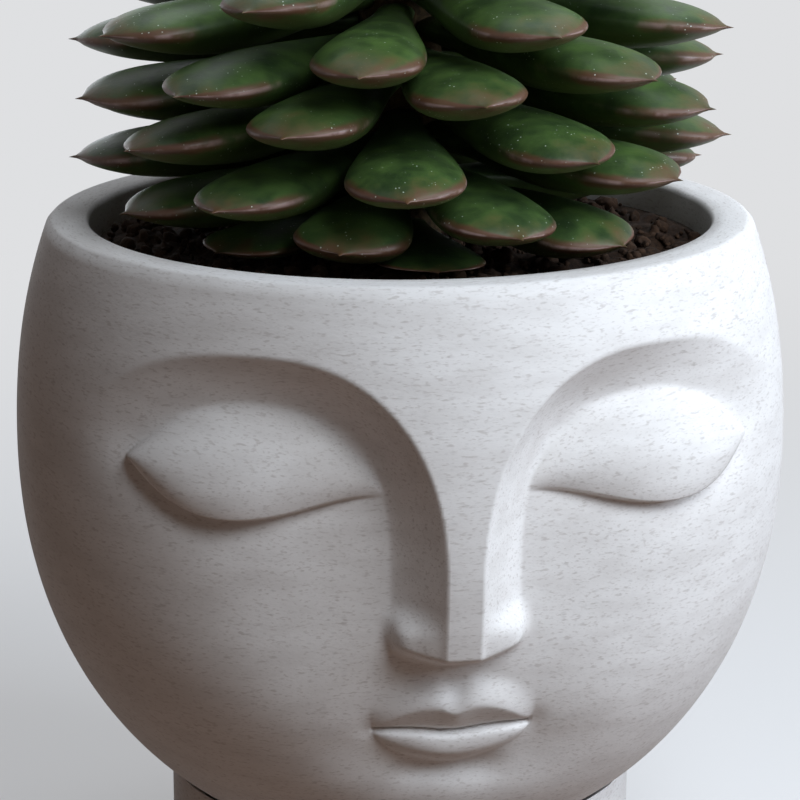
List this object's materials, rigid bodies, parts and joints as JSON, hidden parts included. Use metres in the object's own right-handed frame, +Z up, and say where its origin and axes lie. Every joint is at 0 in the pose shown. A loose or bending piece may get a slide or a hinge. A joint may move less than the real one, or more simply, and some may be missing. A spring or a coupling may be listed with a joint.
{
  "type": "head planter",
  "caption": "Egg-shaped planter with a calm closed-eyed face, standing in a round neck that is also its drip tray, planted with a thick-leaved rosette plant that lifts out.",
  "frame": {"origin": "middle of the neck tray's flat underside, where the planter rests", "axes": "+Z up along the planter's round axis; the face looks along -Y; +X is on the viewer's right when the face is looked at"},
  "size_m": [0.15, 0.15, 0.2238],
  "materials": {
    "printed_stone": "stone-effect print, matte off-white with short dark flecks along its layers",
    "mesh_plastic": "moulded black plastic mesh",
    "pebbles": "fired clay pebbles",
    "soil": "damp dark potting soil with crumbs",
    "stem": "corky plant stem",
    "leaf": "waxy dark green leaf with reddish edges"
  },
  "bodies": {
    "tray": {"neck_tray": "printed_stone"},
    "head": {"head_pot": "printed_stone", "drain_mesh": "mesh_plastic", "drainage_layer": "pebbles"},
    "planting": {"soil": "soil", "stem": "stem", "crown_bud": "leaf", "leaf_tier_01": "leaf", "leaf_tier_02": "leaf", "leaf_tier_03": "leaf", "leaf_tier_04": "leaf", "leaf_tier_05": "leaf", "leaf_tier_06": "leaf", "leaf_tier_07": "leaf", "leaf_tier_08": "leaf", "leaf_tier_09": "leaf", "leaf_tier_10": "leaf", "leaf_tier_11": "leaf"}
  },
  "joints": [
    {"name": "head_lift", "type": "slide", "parent": "tray", "child": "head", "axis": [0, 0, 1], "range_m": [0, 0.04]},
    {"name": "planting_lift", "type": "slide", "parent": "head", "child": "planting", "axis": [0, 0, 1], "range_m": [0, 0.115]}
  ]
}
